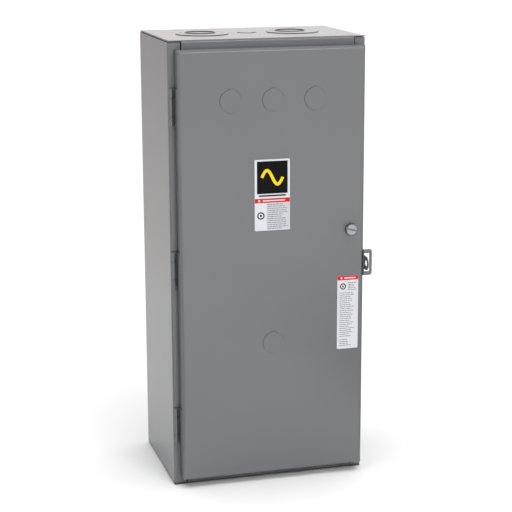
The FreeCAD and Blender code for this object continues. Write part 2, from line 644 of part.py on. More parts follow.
def magnet_housing():
    """Moulded box that holds the coil and the magnet, open to the front."""
    outer = soft_block((-58, 58), (MAGNET_FRONT, PAN_FACE - 0.02), span(CONTACTOR_MIDDLE, 140), 3.0)
    cavity = block((-39, 39), (MAGNET_FRONT - 1, CORE_BACK + 0.5), span(CONTACTOR_MIDDLE, 90))
    foot_x = (-STARTER_HALF_WIDTH, STARTER_HALF_WIDTH)
    feet = [rounded_block(foot_x, (PAN_FACE - 8, PAN_FACE - 0.02), span(z, 18), 4.0, Vector(0, 1, 0))
            for z in span(CONTACTOR_MIDDLE, 110)]
    holes = [rod(3.2, (x, PAN_FACE - 10, z), (x, PAN_FACE + 1, z)) for x, z in CONTACTOR_FIXINGS]
    solid = fused([outer] + feet).cut(cavity)
    for hole in holes:
        solid = solid.cut(hole)
    for x in span(0, 108):
        solid = solid.cut(rod(2.2, (x, MAGNET_FRONT - 1, CONTACTOR_MIDDLE), (x, MAGNET_FRONT + 12, CONTACTOR_MIDDLE)))
    return solid


def magnet_core():
    """Laminated E core, its legs facing the front."""
    z = span(CONTACTOR_MIDDLE, 32)
    yoke = block((-36, 36), (CORE_BACK - 11, CORE_BACK), z)
    legs = [block(x, (CORE_FACE, CORE_BACK), z) for x in ((-36, -26), (-9, 9), (26, 36))]
    core = fused([yoke] + legs)
    for x in span(0, 62):
        core = core.cut(block(span(x, 1.8), (CORE_FACE - 1, CORE_FACE + 2.4), (z[0] - 1, z[1] + 1)))
    return core


def shading_rings():
    """Copper rings set into the two outer pole faces."""
    z = span(CONTACTOR_MIDDLE, 35.4)
    rings = []
    for x in span(0, 62):
        bar = block(span(x, 1.6), (CORE_FACE + 0.4, CORE_FACE + 2.3), z)
        rings.append(bar)
    return rings


def operating_coil():
    """Encapsulated coil on the magnet's centre leg."""
    body = rounded_block((-25, 25), (CORE_FACE + 0.6, CORE_BACK - 11.4), span(CONTACTOR_MIDDLE, 72), 6.0,
                         Vector(0, 1, 0))
    window = block(span(0, 18.8), (CORE_FACE - 2, CORE_BACK), span(CONTACTOR_MIDDLE, 32.8))
    return body.cut(window)


def armature():
    """Laminated bar that the core pulls back."""
    return block((-36, 36), (ARMATURE_FRONT, ARMATURE_BACK), span(CONTACTOR_MIDDLE, 32))


FIXED_TIP_FACE = BASE_FRONT - CONTACT_BAR - CONTACT_TIP
MOVING_TIP_FACE = FIXED_TIP_FACE - CONTACT_GAP
BRIDGE_BACK = MOVING_TIP_FACE - CONTACT_TIP
BRIDGE_FRONT = BRIDGE_BACK - CONTACT_BAR
CARRIER_BACK = BRIDGE_FRONT - 11.0
CARRIER_FRONT = CARRIER_BACK - 7.0


def contact_base():
    """Moulded base of the three poles, with guides for the carrier's two stems."""
    x = (-STARTER_HALF_WIDTH, STARTER_HALF_WIDTH)
    base = rounded_block(x, (BASE_FRONT, MAGNET_FRONT - 0.02), (CONTACTOR_BOTTOM, CONTACTOR_TOP), 4.0, Vector(0, 1, 0))
    ribs = []
    rib_x = [span(STEM_X * i, 3.0) for i in (-1, 1)]
    rib_x += [span(side * (STARTER_HALF_WIDTH - 1.5), 3.0) for side in (-1, 1)]
    for rib in rib_x:
        for z in ((CONTACTOR_TOP - 26, CONTACTOR_TOP - 2), (CONTACTOR_BOTTOM + 2, CONTACTOR_BOTTOM + 26)):
            ribs.append(block(rib, (BASE_FRONT - 16, BASE_FRONT + 1), z))
    base = fused([base] + ribs)
    for x in (-STEM_X, STEM_X):
        base = base.cut(block(span(x, 12), (BASE_FRONT - 1, MAGNET_FRONT + 1), span(CONTACTOR_MIDDLE, 24)))
    for x in span(0, 108):
        at = (x, CONTACTOR_MIDDLE)
        base = base.cut(rod(2.4, (at[0], BASE_FRONT - 1, at[1]), (at[0], MAGNET_FRONT + 1, at[1])))
    return base


def contact_carrier():
    """Moulded cross bar in front of the moving contacts, on two stems to the armature."""
    z = span(CONTACTOR_MIDDLE, 22)
    bar = rounded_block((-64, 64), (CARRIER_FRONT, CARRIER_BACK), z, 3.0, Vector(0, 1, 0))
    arm = block((-STARTER_HALF_WIDTH - 15, -60), (CARRIER_FRONT, CARRIER_BACK), span(CONTACTOR_MIDDLE, 10))
    stems = [block(span(x, 9), (CARRIER_BACK - 1, ARMATURE_FRONT - 0.02), span(CONTACTOR_MIDDLE, 18))
             for x in (-STEM_X, STEM_X)]
    pegs = [rod(3.0, (x, CARRIER_BACK - 1, CONTACTOR_MIDDLE), (x, CARRIER_BACK + 4, CONTACTOR_MIDDLE)) for x in POLES]
    return fused([bar, arm] + stems + pegs)


def moving_contacts():
    """Bridging contacts, one per pole, each with two tips."""
    bridges = []
    for x in POLES:
        bar = rounded_block(span(x, 15), (BRIDGE_FRONT, BRIDGE_BACK), span(CONTACTOR_MIDDLE, 2 * CONTACT_REACH + 12),
                            2.0, Vector(0, 1, 0))
        tips = [rod(5.0, (x, BRIDGE_BACK - 0.5, z), (x, MOVING_TIP_FACE, z))
                for z in span(CONTACTOR_MIDDLE, 2 * CONTACT_REACH)]
        bridges.append(fused([bar] + tips))
    return bridges


def fixed_contacts(direction):
    """Fixed contact bars of one side; direction is +1 for the line side, -1 for the load side."""
    tip_z = CONTACTOR_MIDDLE + direction * CONTACT_REACH
    edge = CONTACTOR_TOP if direction > 0 else CONTACTOR_BOTTOM
    tongue = edge + direction * 16
    bars = []
    for x in POLES:
        z = sorted((tip_z - direction * 7, tongue))
        bar = block(span(x, 16), (BASE_FRONT - CONTACT_BAR, BASE_FRONT - 0.02), z)
        tip = rod(5.0, (x, BASE_FRONT - CONTACT_BAR + 0.5, tip_z), (x, FIXED_TIP_FACE, tip_z))
        bars.append(fused([bar, tip]))
    return bars


def arc_cover():
    """Moulded cover over the contacts, with barriers between the poles."""
    x = (-STARTER_HALF_WIDTH, STARTER_HALF_WIDTH)
    back = BASE_FRONT - 16.3
    z = (CONTACTOR_BOTTOM + 1, CONTACTOR_TOP - 1)
    shell = soft_block(x, (ARC_FRONT, back), z, 3.0)
    wall = 3.5
    cavity = block((x[0] + wall, x[1] - wall), (ARC_FRONT + wall, back + 1), (z[0] + wall, z[1] - wall))
    shell = shell.cut(cavity)
    barriers = []
    for bx in (-STEM_X, STEM_X):
        for bz in ((CONTACTOR_MIDDLE + 14, z[1] - 1), (z[0] + 1, CONTACTOR_MIDDLE - 14)):
            barriers.append(block(span(bx, 2.6), (ARC_FRONT + 1, back), bz))
    posts = [rod(5.0, (px, ARC_FRONT + 1, CONTACTOR_MIDDLE + pz), (px, BASE_FRONT - 0.05, CONTACTOR_MIDDLE + pz))
             for px in span(0, 2 * ARC_POST_X) for pz in span(0, 2 * ARC_POST_Z)]
    plinth = soft_block((-52, 52), (ARC_FRONT - 5, ARC_FRONT + 1), span(CONTACTOR_MIDDLE, 96), 3.0)
    cover = fused([shell, plinth] + barriers + posts)
    vent_width = 2.2
    for pole in POLES:
        for i in range(-2, 3):
            vent_x = span(pole + i * 5.5, vent_width)
            cover = cover.cut(block(vent_x, (ARC_FRONT - 1, ARC_FRONT + wall + 1), (z[1] - 22, z[1] - 8)))
            cover = cover.cut(block(vent_x, (ARC_FRONT - 1, ARC_FRONT + wall + 1), (z[0] + 8, z[0] + 22)))
    arm_slot_y = (CARRIER_FRONT - 1.5, back + 1)
    cover = cover.cut(block((x[0] - 1, x[0] + wall + 1), arm_slot_y, span(CONTACTOR_MIDDLE, 13)))
    for px in span(0, 2 * ARC_POST_X):
        for pz in span(0, 2 * ARC_POST_Z):
            at = (px, CONTACTOR_MIDDLE + pz)
            cover = cover.cut(rod(2.3, (at[0], ARC_FRONT - 1, at[1]), (at[0], BASE_FRONT, at[1])))
            cover = cover.cut(rod(4.2, (at[0], ARC_FRONT - 1, at[1]), (at[0], ARC_FRONT + 2.5, at[1])))
    return cover


def box_lug(x, z, front):
    """Screw-clamp lug for one conductor that enters along Z; front is its front face."""
    body = rounded_block(span(x, LUG_WIDTH), (front, front + LUG_DEPTH), span(z, LUG_HEIGHT), 2.0, Vector(0, 0, 1))
    bore_y = front + LUG_DEPTH - LUG_BORE - 5.5
    body = body.cut(rod(LUG_BORE, (x, bore_y, z - LUG_HEIGHT), (x, bore_y, z + LUG_HEIGHT)))
    return body.cut(rod(4.1, (x, front - 1, z), (x, bore_y, z)))


def socket_screw(x, z, front):
    """Hexagon-socket clamping screw in a lug."""
    screw = rod(4.0, (x, front - 2.0, z), (x, front + 6.0, z))
    return screw.cut(hex_prism(4.0, (x, front - 3.0, z), (x, front + 2.0, z)))


def lug_row(direction):
    """Three lugs and their screws at the line (+1) or load (-1) side."""
    if direction > 0:
        front = BASE_FRONT - CONTACT_BAR - 24.0
        z = CONTACTOR_TOP + 2 + LUG_HEIGHT / 2
    else:
        front = BASE_FRONT - CONTACT_BAR - 15.0
        z = OVERLOAD_BOTTOM - 2 - LUG_HEIGHT / 2
    lugs, screws = [], []
    for x in POLES:
        lug = box_lug(x, z, front)
        if direction > 0:
            lug = lug.cut(block(span(x, 16.1), (BASE_FRONT - CONTACT_BAR - 0.02, front + LUG_DEPTH + 1),
                                (z - LUG_HEIGHT, z + 2)))
        lugs.append(lug)
        screws.append(socket_screw(x, z, front))
    return lugs, screws


def contactor_screws():
    """Screws of the mounting feet, of the contact base and of the arc cover."""
    feet = [slotted_screw(5.4, 3.4, 3.0, 12.0, (x, PAN_FACE - 8.02, z)) for x, z in CONTACTOR_FIXINGS]
    base = [slotted_screw(4.2, 2.6, 2.1, 31.0, (x, BASE_FRONT - 0.02, CONTACTOR_MIDDLE)) for x in span(0, 108)]
    seat = ARC_FRONT + 2.48
    cover = [slotted_screw(3.9, 2.2, 2.1, BASE_FRONT - seat - 1.0, (x, seat, CONTACTOR_MIDDLE + z))
             for x in span(0, 2 * ARC_POST_X) for z in span(0, 2 * ARC_POST_Z)]
    return feet, base, cover


def coil_terminals():
    """Two tabs from the coil, through the magnet housing's right side."""
    tabs, screws = [], []
    for z in span(CONTACTOR_MIDDLE, 32):
        tab = rounded_block((59.0, 88), COIL_TAB, span(z, 10), 2.0, Vector(0, 1, 0))
        hole_x = 81.0
        tab = tab.cut(rod(2.1, (hole_x, COIL_TAB[0] - 1, z), (hole_x, COIL_TAB[1] + 1, z)))
        root = block((58.02, 61), (COIL_TAB[0] - 2, COIL_TAB[1] + 2), span(z, 13))
        tabs.append(fused([tab, root]))
        screws.append(slotted_screw(3.9, 2.4, 2.0, 6.0, (hole_x, COIL_TAB[0] - 0.02, z)))
    return tabs, screws


def auxiliary_block():
    """Auxiliary contact block on the contactor's left side, worked by the carrier's arm."""
    block_x = (-STARTER_HALF_WIDTH - 26, -STARTER_HALF_WIDTH - 0.1)
    body = soft_block(block_x, (AUX_FRONT, BASE_FRONT + 30), span(CONTACTOR_MIDDLE, 62), 2.0)
    plunger_x = -STARTER_HALF_WIDTH - 11
    plunger_back = AUX_FRONT + 14
    body = body.cut(rod(2.5, (plunger_x, AUX_FRONT - 1, CONTACTOR_MIDDLE),
                        (plunger_x, plunger_back + CONTACT_TRAVEL + 1, CONTACTOR_MIDDLE)))
    screws = []
    for x in span((block_x[0] + block_x[1]) / 2, 12):
        for z in span(CONTACTOR_MIDDLE, 42):
            body = body.cut(block(span(x, 9.4), (AUX_FRONT - 1, AUX_FRONT + 3), span(z, 9.4)))
            body = body.cut(rod(2.1, (x, AUX_FRONT, z), (x, AUX_FRONT + 12, z)))
            screws.append(slotted_screw(3.6, 2.2, 1.9, 8.0, (x, AUX_FRONT + 2.98, z)))
    plunger = rod(2.4, (plunger_x, CARRIER_BACK + 0.02, CONTACTOR_MIDDLE), (plunger_x, plunger_back, CONTACTOR_MIDDLE))
    return body, screws, plunger


def build_contactor():
    export("magnet_housing", magnet_housing())
    export("magnet_core", magnet_core())
    export("shading_rings", shading_rings())
    export("operating_coil", operating_coil())
    export("armature", armature())
    export("contact_base", contact_base())
    export("contact_carrier", contact_carrier())
    export("moving_contacts", moving_contacts())
    spring_gap = 0.05
    export("contact_springs", [coil_spring(4.6, 0.6, 4, (x, BRIDGE_FRONT - spring_gap, CONTACTOR_MIDDLE),
                                           BRIDGE_FRONT - CARRIER_BACK - 2 * spring_gap) for x in POLES])
    export("return_springs", [coil_spring(3.6, 0.6, 6, (x, BASE_FRONT - spring_gap, CONTACTOR_MIDDLE),
                                          BASE_FRONT - CARRIER_BACK - 2 * spring_gap) for x in span(0, 69)])
    export("line_contacts", fixed_contacts(1))
    export("load_contacts", fixed_contacts(-1))
    export("arc_cover", arc_cover())
    feet, base, cover = contactor_screws()
    export("contactor_feet_screws", feet)
    export("contact_base_screws", base)
    export("arc_cover_screws", cover)
    tabs, tab_screws = coil_terminals()
    export("coil_terminals", tabs)
    body, aux_screws, plunger = auxiliary_block()
    export("auxiliary_contact_block", body)
    export("auxiliary_plunger", plunger)
    export("control_terminal_screws", tab_screws + aux_screws)
    lugs, screws = lug_row(1)
    export("line_lugs", lugs)
    export("line_lug_screws", screws)


# ---------------------------------------------------------------- overload relay
STRAP = (BASE_FRONT - CONTACT_BAR - 3.0, BASE_FRONT - CONTACT_BAR - 0.02)
STRAP_SCREW_Z = (CONTACTOR_BOTTOM + OVERLOAD_TOP) / 2 + 2.0
HEATER_Y = -66.0
HEATER_TOP = -44.0
HEATER_BOTTOM = -72.0
TONGUE = (-73.98, -71.0)
RESET_X = 24.0
DIAL_X = -24.0
CONTROL_Z = -30.0
RESET_TRAVEL = 4.0
TRIP_TRAVEL = 1.9
COVER_FRONT = OVERLOAD_FRONT - OVERLOAD_COVER
TERMINAL_X = (-64.0, -52.0, 52.0, 64.0)
TERMINAL_Z = -78.0
RESET_SEAT = -80.0


def overload_housing():
    """Moulded case, open to the front, with slots for the current straps."""
    x = (-STARTER_HALF_WIDTH, STARTER_HALF_WIDTH)
    z = (OVERLOAD_BOTTOM, OVERLOAD_TOP)
    wall = 3.5
    shell = rounded_block(x, (OVERLOAD_FRONT, PAN_FACE - 0.02), z, 3.0, Vector(0, 1, 0))
    cavity = block((x[0] + wall, x[1] - wall), (OVERLOAD_FRONT - 1, PAN_FACE - 12), (z[0] + wall, z[1] - wall))
    posts = [rod(4.6, (px, OVERLOAD_FRONT, pz), (px, PAN_FACE - 10, pz)) for px, pz in OVERLOAD_CORNERS]
    seat = block(span(RESET_X, 14), (RESET_SEAT, PAN_FACE - 10), span(CONTROL_Z, 14))
    shell = fused([shell.cut(cavity), seat] + posts)
    shell = shell.cut(rod(2.5, (RESET_X, RESET_SEAT - 1, CONTROL_Z), (RESET_X, RESET_SEAT + 16, CONTROL_Z)))
    for px, pz in OVERLOAD_CORNERS:
        shell = shell.cut(rod(1.9, (px, OVERLOAD_FRONT - 1, pz), (px, OVERLOAD_FRONT + 20, pz)))
    for pole in POLES:
        shell = shell.cut(block(span(pole, 16.6), (STRAP[0] - 0.3, STRAP[1] + 0.3), (z[1] - wall - 1, z[1] + 1)))
        shell = shell.cut(block(span(pole, 16.6), (TONGUE[0] - 0.3, TONGUE[1] + 0.3), (z[0] - 1, z[0] + wall + 1)))
    return shell


def overload_cover():
    """Front cover with openings for the reset button and the trip dial."""
    x = (-STARTER_HALF_WIDTH, STARTER_HALF_WIDTH)
    cover = soft_block(x, (COVER_FRONT, OVERLOAD_FRONT - 0.02), (OVERLOAD_BOTTOM, OVERLOAD_TOP), 2.4)
    bezel = soft_block((-42, 42), (COVER_FRONT - 2.5, COVER_FRONT + 1), span(CONTROL_Z, 40), 2.0)
    cover = fused([cover, bezel])
    cover = cover.cut(rod(5.06, (RESET_X, COVER_FRONT - 4, CONTROL_Z), (RESET_X, OVERLOAD_FRONT + 1, CONTROL_Z)))
    cover = cover.cut(rod(3.06, (DIAL_X, COVER_FRONT - 4, CONTROL_Z), (DIAL_X, OVERLOAD_FRONT + 1, CONTROL_Z)))
    for px, pz in OVERLOAD_CORNERS:
        cover = cover.cut(rod(2.0, (px, COVER_FRONT - 1, pz), (px, OVERLOAD_FRONT + 1, pz)))
    for tx in TERMINAL_X:
        cover = cover.cut(rod(2.1, (tx, COVER_FRONT - 1, TERMINAL_Z), (tx, OVERLOAD_FRONT - 1, TERMINAL_Z)))
    for rib_x in (-58.0, 58.0):
        cover = cover.cut(block(span(rib_x, 1.0), (COVER_FRONT - 1, COVER_FRONT + 1.2), span(TERMINAL_Z, 20)))
    return cover


def current_path():
    """Straps from the contactor, heaters, and tongues to the load lugs, one of each per pole."""
    straps, heaters, bimetals, tongues, screws = [], [], [], [], []
    for x in POLES:
        strip = block(span(x, 16), STRAP, (HEATER_TOP, CONTACTOR_BOTTOM - 1.5))
        foot = block(span(x, 16), (STRAP[0], HEATER_Y + 9), (HEATER_TOP, HEATER_TOP + 3))
        slit = block(span(x, 2.6), span(HEATER_Y, 8), (HEATER_TOP - 1, HEATER_TOP + 4))
        hole = rod(2.6, (x, STRAP[0] - 1, STRAP_SCREW_Z), (x, STRAP[1] + 1, STRAP_SCREW_Z))
        straps.append(fused([strip, foot]).cut(slit).cut(hole))
        screws.append(slotted_screw(4.4, 2.8, 2.4, 0.0, (x, STRAP[0] - 0.02, STRAP_SCREW_Z)))
        low_foot = block(span(x, 16), (TONGUE[0], HEATER_Y + 9), (HEATER_BOTTOM - 3, HEATER_BOTTOM))
        drop = block(span(x, 16), TONGUE, (OVERLOAD_BOTTOM - 18, HEATER_BOTTOM))
        low_slit = block(span(x, 2.6), span(HEATER_Y, 8), (HEATER_BOTTOM - 4, HEATER_BOTTOM + 1))
        tongues.append(fused([low_foot, drop]).cut(low_slit))
        coil = coil_spring(6.0, 1.1, 5, (0, 0, 0), HEATER_TOP - HEATER_BOTTOM - 0.2)
        coil.rotate(Vector(0, 0, 0), Vector(1, 0, 0), -90)
        coil.translate(Vector(x, HEATER_Y, HEATER_BOTTOM + 0.1))
        heaters.append(coil)
        bimetals.append(block(span(x, 1.2), span(HEATER_Y, 6), (HEATER_BOTTOM - 12, OVERLOAD_TOP - 12)))
    return straps, heaters, bimetals, tongues, screws


def trip_slider():
    """Bar that the bimetals push to the right, with a pair of pegs at each pole."""
    z = (HEATER_BOTTOM - 12, HEATER_BOTTOM - 7.5)
    bar = block((-62, 62), (-58.0, -54.0), z)
    gap = 2.6
    pegs = [block(sorted((x + side * gap, x + side * (gap + 2))), (-69.0, -57.0), z) for x in POLES for side in (-1, 1)]
    return fused([bar] + pegs)


def reset_button():
    """Reset button with its collar and stem."""
    cap = rod(5.0, (RESET_X, COVER_FRONT - 9, CONTROL_Z), (RESET_X, OVERLOAD_FRONT + 3, CONTROL_Z))
    cap = cap.makeFillet(1.0, [e for e in cap.Edges if e.BoundBox.YMax < COVER_FRONT - 8])
    collar = rod(6.8, (RESET_X, OVERLOAD_FRONT + 1.0, CONTROL_Z), (RESET_X, OVERLOAD_FRONT + 4, CONTROL_Z))
    stem = rod(2.4, (RESET_X, OVERLOAD_FRONT + 3, CONTROL_Z), (RESET_X, RESET_SEAT + 8, CONTROL_Z))
    return fused([cap, collar, stem])


def trip_dial():
    """Trip-current dial with a screwdriver slot and a pointer."""
    face = COVER_FRONT - 2.5
    disc = rod(9.0, (DIAL_X, face - 0.05, CONTROL_Z), (DIAL_X, face - 4.0, CONTROL_Z))
    disc = disc.makeChamfer(0.8, [e for e in disc.Edges if e.BoundBox.YMax < face - 3.5])
    stem = rod(3.0, (DIAL_X, face - 1, CONTROL_Z), (DIAL_X, OVERLOAD_FRONT + 2, CONTROL_Z))
    slot = block(span(DIAL_X, 11), (face - 5, face - 2.4), span(CONTROL_Z, 1.8))
    pointer = block(span(DIAL_X, 1.4), (face - 5, face - 3.3), (CONTROL_Z + 4.5, CONTROL_Z + 10))
    return fused([disc, stem]).cut(slot).cut(pointer)


def build_overload():
    export("overload_housing", overload_housing())
    export("overload_cover", overload_cover())
    straps, heaters, bimetals, tongues, screws = current_path()
    export("overload_straps", straps)
    export("heater_coils", heaters)
    export("bimetal_strips", bimetals)
    export("load_tongues", tongues)
    export("trip_slider", trip_slider())
    export("reset_button", reset_button())
    seat_gap = 0.05
    spring_start = (RESET_X, RESET_SEAT - seat_gap, CONTROL_Z)
    export("reset_spring", coil_spring(3.9, 0.5, 7, spring_start, RESET_SEAT - OVERLOAD_FRONT - 4 - 2 * seat_gap))
    export("trip_dial", trip_dial())
    corner_screws = [slotted_screw(3.4, 2.0, 1.7, OVERLOAD_COVER + 10, (x, COVER_FRONT - 0.02, z))
                     for x, z in OVERLOAD_CORNERS]
    export("overload_cover_screws", corner_screws)
    terminals = [slotted_screw(3.6, 2.4, 1.9, 5.0, (x, COVER_FRONT - 0.02, TERMINAL_Z)) for x in TERMINAL_X]
    export("overload_terminal_screws", terminals + screws)
    lugs, screws = lug_row(-1)
    export("load_lugs", lugs)
    export("load_lug_screws", screws)


# ---------------------------------------------------------------- control wiring
def build_wiring():
    wire_radius = 1.6
    tab_y = COIL_TAB[0] - wire_radius - 0.05
    right_x = 81.0
    lug_side = POLES[2] + LUG_WIDTH / 2 + 0.05
    upper_z = CONTACTOR_MIDDLE + 16 + 4.2
    lower_z = CONTACTOR_MIDDLE - 16 - 4.2
    line_tap = [
        (right_x, tab_y, upper_z),
        (right_x, tab_y, 150),
        (86, -66, 176),
        (84, -84, 200),
        (74, -96, 210),
        (lug_side, -96, 210),
    ]
    terminal_y = COVER_FRONT - wire_radius - 0.1
    wire_stop = 5.0
    coil_return = [
        (right_x, tab_y, lower_z),
        (right_x, tab_y, 58),
        (88, -62, 34),
        (90, -74, -14),
        (88, -98, -50),
        (82, terminal_y, -74),
        (TERMINAL_X[3] + wire_stop, terminal_y, TERMINAL_Z),
    ]
    aux_y = AUX_FRONT - wire_radius - 0.1
    aux_link = [
        (-87, aux_y, CONTACTOR_MIDDLE - 29),
        (-87, aux_y, 50),
        (-84, -106, 14),
        (-86, -108, -30),
        (-80, terminal_y, -68),
        (TERMINAL_X[0] - wire_stop, terminal_y, TERMINAL_Z),
    ]
    export("line_tap_wire", routed_wire(wire_radius, line_tap))
    export("coil_return_wire", routed_wire(wire_radius, coil_return))
    export("auxiliary_link_wire", routed_wire(wire_radius, aux_link))


if __name__ == "__main__":
    os.makedirs("parts", exist_ok=True)
    build_enclosure()
    build_mounting()
    build_contactor()
    build_overload()
    build_wiring()
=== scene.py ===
"""Looks of the enclosed magnetic motor starter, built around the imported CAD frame.

Everything is in metres, in the part's own frame: +X right, +Y into the wall, +Z up.
"""

import json
import math

import bmesh
import bpy
from mathutils import Matrix, Vector


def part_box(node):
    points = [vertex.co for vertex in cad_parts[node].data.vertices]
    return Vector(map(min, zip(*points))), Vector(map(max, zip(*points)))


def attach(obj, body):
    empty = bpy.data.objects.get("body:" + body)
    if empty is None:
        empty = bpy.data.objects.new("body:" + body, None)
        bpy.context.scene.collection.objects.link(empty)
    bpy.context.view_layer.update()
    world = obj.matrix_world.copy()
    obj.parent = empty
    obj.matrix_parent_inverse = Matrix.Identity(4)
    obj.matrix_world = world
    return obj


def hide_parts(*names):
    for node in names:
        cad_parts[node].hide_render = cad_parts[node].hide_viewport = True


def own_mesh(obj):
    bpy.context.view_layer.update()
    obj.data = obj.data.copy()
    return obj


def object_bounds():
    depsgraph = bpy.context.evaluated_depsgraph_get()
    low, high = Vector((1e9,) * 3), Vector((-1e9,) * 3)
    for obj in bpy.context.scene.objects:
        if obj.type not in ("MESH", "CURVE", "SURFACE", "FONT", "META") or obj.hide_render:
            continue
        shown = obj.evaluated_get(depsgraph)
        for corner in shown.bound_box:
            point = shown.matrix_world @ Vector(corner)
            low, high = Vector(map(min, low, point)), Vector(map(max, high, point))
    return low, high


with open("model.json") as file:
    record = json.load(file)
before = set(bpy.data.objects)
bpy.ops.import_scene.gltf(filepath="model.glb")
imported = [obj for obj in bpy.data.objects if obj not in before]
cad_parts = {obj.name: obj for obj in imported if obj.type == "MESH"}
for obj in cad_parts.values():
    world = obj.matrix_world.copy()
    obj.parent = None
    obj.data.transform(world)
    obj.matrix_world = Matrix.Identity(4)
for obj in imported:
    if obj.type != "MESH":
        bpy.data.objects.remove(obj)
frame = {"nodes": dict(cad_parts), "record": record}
NODES = frame["nodes"]
CAD_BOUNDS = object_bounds()
FLOOR = CAD_BOUNDS[0].z
MM = 0.001

# printed labels: depths in metres, and the rest in millimetres, as in their layouts
FILM_FRONT = 0.04 * MM          # how far behind the film plate's front the first ink lies
INK_LAYER = 0.006 * MM          # step between two layers of ink
FILM_CORNER = 1.6
BAR_HEIGHT = 1.8                # the white bar on a red band
DASH_HEIGHT = 0.85
DASH_GAP = 0.75
CORNER_STEPS = 6                # chords in a rounded corner

# springs
WIRE_SIDES = 12
STEPS_A_TURN = 40
END_TURNS = 0.85                # turns at each end that lie close together
END_PITCH = 2.05                # their pitch, in wire radii

# stage and camera, in metres and degrees, and the lens and its sensor in millimetres
STAGE_SEGMENTS = 128
FLOOR_RADIUS = 60.0
BACKDROP_RADIUS, BACKDROP_HEIGHT = 18.0, 12.0
LENS, SENSOR = 105.73, 36.0
CAMERA_PLACE = (-0.5789, -2.2058, 0.4987)
CAMERA_TURN, CAMERA_TILT, CAMERA_ROLL = -15.54, 90.0 - 13.08, -0.22
CAMERA_NEAR, CAMERA_FAR = 0.05, 120.0


def placed(name, data):
    """A new object in the scene that holds a mesh, a light or a camera."""
    obj = bpy.data.objects.new(name, data)
    bpy.context.scene.collection.objects.link(obj)
    return obj


def mesh_from(build, name):
    """A new mesh from a bmesh, which is freed."""
    mesh = bpy.data.meshes.new(name)
    build.to_mesh(mesh)
    build.free()
    return mesh


# ---------------------------------------------------------------- node material helper
class Shader:
    """One procedural material around a Principled surface."""

    def __init__(self, name, color, roughness, metallic=0.0):
        self.material = bpy.data.materials.new(name)
        self.material.use_nodes = True
        self.tree = self.material.node_tree
        self.surface = self.tree.nodes["Principled BSDF"]
        self.color = (*color, 1.0)
        self.surface.inputs["Base Color"].default_value = self.color
        self.surface.inputs["Roughness"].default_value = roughness
        self.surface.inputs["Metallic"].default_value = metallic
        self.place = self.add("ShaderNodeTexCoord").outputs["Object"]

    def add(self, kind, **settings):
        node = self.tree.nodes.new(kind)
        for key, value in settings.items():
            setattr(node, key, value)
        return node

    def link(self, source, target):
        self.tree.links.new(source, target)

    def stretched(self, scale):
        """Object coordinates, stretched by a scale along each axis."""
        mapping = self.add("ShaderNodeMapping")
        mapping.inputs["Scale"].default_value = scale
        self.link(self.place, mapping.inputs["Vector"])
        return mapping.outputs["Vector"]

    def noise(self, scale, detail=3.0, stretch=None):
        texture = self.add("ShaderNodeTexNoise")
        texture.inputs["Scale"].default_value = scale
        texture.inputs["Detail"].default_value = detail
        self.link(self.stretched(stretch) if stretch else self.place, texture.inputs["Vector"])
        return texture.outputs["Fac"]

    def cells(self, scale):
        """A random grey for each Voronoi cell."""
        texture = self.add("ShaderNodeTexVoronoi")
        texture.inputs["Scale"].default_value = scale
        self.link(self.place, texture.inputs["Vector"])
        grey = self.add("ShaderNodeRGBToBW")
        self.link(texture.outputs["Color"], grey.inputs["Color"])
        return grey.outputs["Val"]

    def bands(self, scale, axis, distortion=0.0):
        texture = self.add("ShaderNodeTexWave", wave_type="BANDS", bands_direction=axis)
        texture.inputs["Scale"].default_value = scale
        texture.inputs["Distortion"].default_value = distortion
        self.link(self.place, texture.inputs["Vector"])
        return texture.outputs["Fac"]

    def ramp(self, value, low, high, to_low=0.0, to_high=1.0):
        """value mapped from low..high to to_low..to_high, clamped."""
        node = self.add("ShaderNodeMapRange")
        self.link(value, node.inputs["Value"])
        node.inputs["From Min"].default_value = low
        node.inputs["From Max"].default_value = high
        node.inputs["To Min"].default_value = to_low
        node.inputs["To Max"].default_value = to_high
        return node.outputs["Result"]

    def tint(self, value, color):
        """Blend the base colour towards another colour by a 0..1 value."""
        mix = self.add("ShaderNodeMix", data_type="RGBA")
        self.link(value, mix.inputs["Factor"])
        target = self.surface.inputs["Base Color"]
        if target.is_linked:
            self.link(target.links[0].from_socket, mix.inputs["A"])
        else:
            mix.inputs["A"].default_value = self.color
        mix.inputs["B"].default_value = (*color, 1.0)
        self.link(mix.outputs["Result"], target)

    def rough(self, value, low, high):
        """Roughness that runs from low to high as value goes from 0.3 to 0.7."""
        self.link(self.ramp(value, 0.3, 0.7, low, high), self.surface.inputs["Roughness"])

    def bump(self, value, height, softened=0.0):
        """Raise the surface by a value times a height in metres, with edges rounded by a radius."""
        node = self.add("ShaderNodeBump")
        node.inputs["Strength"].default_value = 1.0
        node.inputs["Distance"].default_value = height
        self.link(value, node.inputs["Height"])
        target = self.surface.inputs["Normal"]
        if target.is_linked:
            self.link(target.links[0].from_socket, node.inputs["Normal"])
        elif softened:
            self.link(self.soft_normal(softened), node.inputs["Normal"])
        self.link(node.outputs["Normal"], target)

    def painted_crevice_shade(self, reach, color, opening):
        """Painted shade: darken the base colour in crevices narrower than the reach that are less open to
        the air than a 0..1 share.
        """
        node = self.add("ShaderNodeAmbientOcclusion", samples=8)
        node.inputs["Distance"].default_value = reach
        self.tint(self.ramp(node.outputs["AO"], opening, 0.24), color)

    def soft_normal(self, radius):
        node = self.add("ShaderNodeBevel", samples=6)
        node.inputs["Radius"].default_value = radius
        return node.outputs["Normal"]

    def edge(self, radius):
        """0 on flat faces, up to 1 on edges."""
        dot = self.add("ShaderNodeVectorMath", operation="DOT_PRODUCT")
        geometry = self.add("ShaderNodeNewGeometry")
        self.link(self.soft_normal(radius), dot.inputs[0])
        self.link(geometry.outputs["Normal"], dot.inputs[1])
        return self.ramp(dot.outputs["Value"], 0.99, 0.85)


